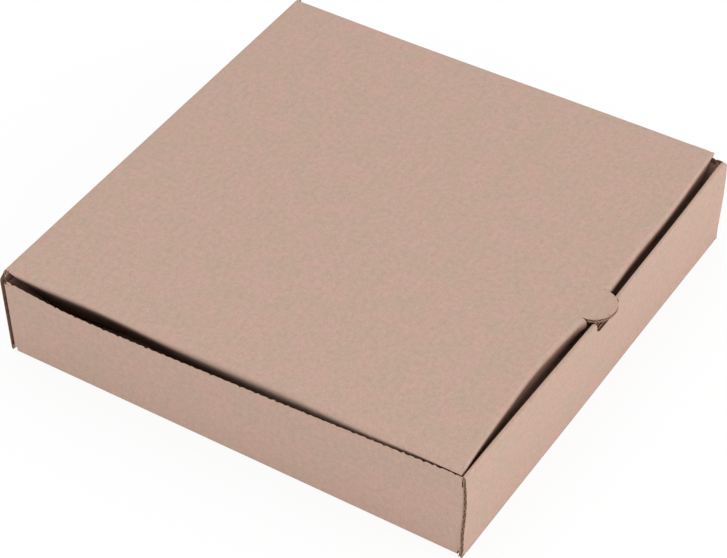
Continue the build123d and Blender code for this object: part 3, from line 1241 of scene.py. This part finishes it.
class Graph:
    """The node tree of a material, built from one method."""

    def __init__(self, name: str) -> None:
        """Start a material with an empty tree.

        Args:
            name: the material's name.
        """
        self.material = bpy.data.materials.new(name)
        self.material.use_nodes = True
        self.tree = self.material.node_tree
        self.tree.nodes.clear()

    def node(self, kind: str, settings: dict[str, object] | None = None,
             inputs: dict[int | str, object] | None = None, output: int | str = 0) -> Socket:
        """Add one node.

        Args:
            kind: its type, without the leading ShaderNode.
            settings: properties, set first; "stops" are a ramp's (place, colour) pairs.
            inputs: values or sockets by input name or number.
            output: the output to hand back.

        Returns:
            That output as a Socket.
        """
        made = self.tree.nodes.new(f"ShaderNode{kind}")
        for key, value in (settings or {}).items():
            if key == "stops":
                ramp = made.color_ramp
                for index, (place, colour) in enumerate(value):
                    stop = ramp.elements[index] if index < 2 else ramp.elements.new(place)
                    stop.position, stop.color = place, (*colour, 1.0)
            else:
                setattr(made, key, value)
        for key, value in (inputs or {}).items():
            target = made.inputs[key]
            if isinstance(value, Socket):
                self.tree.links.new(value.link, target)
            else:
                target.default_value = (*value, 1.0) if target.type == "RGBA" and len(value) == 3 else value
        return Socket(self, made.outputs[output] if made.outputs else None)

    def place(self) -> Socket:
        """Where a point lies on the flat sheet, in metres."""
        return self.node("Attribute", {"attribute_name": "sheet"}, output="Vector")

    def stretched(self, vector: Socket, scale: Colour) -> Socket:
        """A vector scaled axis by axis."""
        return self.node("VectorMath", {"operation": "MULTIPLY"}, {0: vector, 1: scale})

    def noise(self, vector: Socket, scale: float, detail: float = 2.0, roughness: float = 0.5) -> Socket:
        """Noise from 0 to 1."""
        return self.node("TexNoise", None, {"Vector": vector, "Scale": scale, "Detail": detail,
                                            "Roughness": roughness}, "Fac")

    def between(self, mask: Socket, low: Socket | Colour, high: Socket | Colour) -> Socket:
        """Two colours mixed by a mask."""
        return self.node("Mix", {"data_type": "RGBA"}, {0: mask, 6: low, 7: high}, 2)

    def lit(self, colour: Socket, level: Socket) -> Socket:
        """A colour made lighter or darker."""
        return self.node("VectorMath", {"operation": "SCALE"}, {0: colour, "Scale": level})

    def finish(self, colour: Socket, roughness: Socket | float, height: Socket | None = None,
               depth: float = 0.0, strength: float = 1.0) -> bpy.types.Material:
        """Close the tree with a matt shader.

        Args:
            colour: base colour.
            roughness: its roughness.
            height: relief from 0 to 1.
            depth: relief depth in metres.
            strength: how strongly it shows.

        Returns:
            The material.
        """
        inputs: dict[int | str, object] = {"Base Color": colour, "Roughness": roughness, "Specular IOR Level": 0.3}
        if height is not None:
            inputs["Normal"] = self.node("Bump", None, {"Strength": strength, "Distance": depth, "Height": height})
        shader = self.node("BsdfPrincipled", None, inputs)
        self.node("OutputMaterial", None, {"Surface": shader})
        return self.material


@dataclass(frozen=True)
class KraftLiner:
    """A kraft liner: mottled, flecked paper with the flutes showing faintly through it."""

    name: str
    warm: Colour = (0.488, 0.322, 0.262)
    cool: Colour = (0.452, 0.325, 0.254)
    mottle: float = 0.46
    washboard: float = 0.005

    def material(self) -> bpy.types.Material:
        """Make the finish.

        Returns:
            Its material.
        """
        graph = Graph(self.name)
        place = graph.place()
        across = graph.node("Attribute", {"attribute_name": "flute"}, output="Fac")
        cloud = graph.noise(place, 95.0, 3.0, 0.55)
        patches = graph.node("MapRange", None, {0: cloud, 1: 0.36, 2: 0.64, 3: 0.0, 4: 1.0})
        formation = graph.noise(place, 420.0, 4.0, 0.62)
        grain = graph.noise(place, 1300.0, 3.0, 0.6)
        fleck = graph.noise(place, 1050.0, 1.0, 0.4) > 0.705
        fibre = graph.noise(graph.stretched(place, (0.22, 1.0, 1.0)), 1900.0, 1.0) > 0.69
        ribs = (across * (2000.0 * math.pi / BOARD.flute_pitch)).sine()
        level = (1.0 - self.mottle * 0.8 + self.mottle * 0.75 * formation + self.mottle * 0.85 * grain
                 + self.washboard * ribs - 0.09 * fleck + 0.035 * fibre)
        colour = graph.lit(graph.between(patches, self.warm, self.cool), level)
        rough = 0.8 + 0.12 * formation
        height = 0.5 * formation + 0.35 * grain + 0.06 * ribs + 0.1 * fibre
        return graph.finish(colour, rough, height, 0.00006, 0.55)


@dataclass(frozen=True)
class CutPaper:
    """Raw paper at a cut: torn lips and medium, or painted shade in the flute hollows and on torn edges."""

    name: str
    light: Colour
    dark: Colour
    scale: float = 900.0

    def material(self) -> bpy.types.Material:
        """Make the finish.

        Returns:
            Its material.
        """
        graph = Graph(self.name)
        tear = graph.noise(graph.place(), self.scale, 3.0, 0.6)
        spread = graph.node("MapRange", None, {0: tear, 1: 0.35, 2: 0.65, 3: 0.0, 4: 1.0})
        colour = graph.between(spread, self.dark, self.light)
        return graph.finish(colour, 0.85 + 0.1 * tear, tear, 0.0001, 0.6)


def sheet_finishes() -> list[bpy.types.Material]:
    """Make the finishes of a sheet.

    Returns:
        Materials in the order of Face.
    """
    return [
        KraftLiner("kraft_outside").material(),
        KraftLiner("kraft_inside", warm=(0.468, 0.300, 0.229), cool=(0.440, 0.293, 0.221)).material(),
        CutPaper("liner_edge", (0.44, 0.285, 0.215), (0.33, 0.21, 0.15)).material(),
        CutPaper("flute_medium", (0.40, 0.25, 0.18), (0.27, 0.165, 0.115)).material(),
        # Dark colour of the flute hollows: painted shade.
        CutPaper("flute_tunnel_painted_shade", (0.20, 0.118, 0.08), (0.11, 0.062, 0.04)).material(),
        # Dark colour of torn edges behind the outer lip: painted shade.
        CutPaper("torn_edge_painted_shade", (0.300, 0.185, 0.135), (0.180, 0.105, 0.075)).material(),
    ]


@dataclass
class Studio:
    """White floor, soft light and the camera."""

    azimuth: float = -57.822
    elevation: float = 42.336
    roll: float = -0.082
    distance: float = 1.08681
    target: tuple[float, float, float] = (0.00504, 0.00717, 0.0)
    lens: float = 132.6157
    sky: float = 0.9

    def build_camera(self) -> None:
        """Place the camera."""
        a, e, r = (math.radians(x) for x in (self.azimuth, self.elevation, self.roll))
        back = Vector((math.sin(a) * math.cos(e), -math.cos(a) * math.cos(e), math.sin(e)))
        side = Vector((0, 0, 1)).cross(back).normalized()
        up = back.cross(side)
        right = side * math.cos(r) + up * math.sin(r)
        above = back.cross(right)
        optics = bpy.data.cameras.new("camera")
        optics.sensor_width = 36.0
        optics.lens = self.lens
        camera = bpy.data.objects.new("camera", optics)
        bpy.context.scene.collection.objects.link(camera)
        turn = Matrix((right, above, back)).transposed().to_4x4()
        camera.matrix_world = Matrix.Translation(Vector(self.target) + back * self.distance) @ turn
        bpy.context.scene.camera = camera

    def build_floor(self) -> None:
        """Lay the white floor, which keeps a soft shadow."""
        mesh = bpy.data.meshes.new("studio_floor")
        mesh.from_pydata([(-6, -6, 0), (6, -6, 0), (6, 6, 0), (-6, 6, 0)], [], [(0, 1, 2, 3)])
        floor = bpy.data.objects.new("studio_floor", mesh)
        floor.location.z = -0.0002
        bpy.context.scene.collection.objects.link(floor)
        graph = Graph("floor_white")
        seen = graph.node("LightPath", output="Is Camera Ray")
        matt = graph.node("BsdfDiffuse", None, {"Color": (0.92, 0.92, 0.92)})
        glow = graph.node("Emission", None, {"Color": (1.0, 1.0, 1.0), "Strength": 1.0})
        shader = graph.node("MixShader", None, {0: seen * 0.88, 1: matt, 2: glow})
        graph.node("OutputMaterial", None, {"Surface": shader})
        mesh.materials.append(graph.material)

    def build_light(self) -> None:
        """Soft light all round, with a large lamp low in front."""
        world = bpy.data.worlds.new("studio_sky")
        bpy.context.scene.world = world
        world.use_nodes = True
        nodes, links = world.node_tree.nodes, world.node_tree.links
        seen, strength, sky = nodes.new("ShaderNodeLightPath"), nodes.new("ShaderNodeMix"), nodes["Background"]
        strength.inputs[2].default_value, strength.inputs[3].default_value = self.sky, 1.0
        links.new(seen.outputs["Is Camera Ray"], strength.inputs[0])
        links.new(strength.outputs[0], sky.inputs["Strength"])
        sky.inputs["Color"].default_value = (1, 1, 1, 1)
        for name, place, size, power in (
            ("front_lamp", (0.35, -1.5, 0.55), 1.2, 10.0),
            ("side_lamp", (-1.5, 0.2, 0.55), 1.2, 2.6),
            ("top_lamp", (-0.3, 0.2, 1.6), 1.2, 3.0),
        ):
            lamp = bpy.data.lights.new(name, "AREA")
            lamp.size, lamp.energy = size, power
            holder = bpy.data.objects.new(name, lamp)
            holder.location = place
            holder.rotation_mode = "QUATERNION"
            holder.rotation_quaternion = Vector(place).to_track_quat("Z", "Y")
            bpy.context.scene.collection.objects.link(holder)

    def build(self) -> None:
        """Set up the whole studio."""
        self.build_camera()
        self.build_floor()
        self.build_light()
        bpy.context.scene.view_settings.view_transform = "Standard"


def main() -> None:
    """Load the frame, fold the box and light it."""
    logging.basicConfig(level=logging.INFO, format="%(message)s")
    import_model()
    shape = BoxShape.packed()
    finishes = sheet_finishes()
    tray, lid = Tray(shape), Lid(shape)
    pieces = [tray.build(finishes), lid.build(tray, finishes), Hinge(shape).build(finishes)]
    Studio().build()
    for piece in pieces:
        log.info("%s rides on %s", piece.name, body_of(piece))
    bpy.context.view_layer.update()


if __name__ == "__main__":
    main()
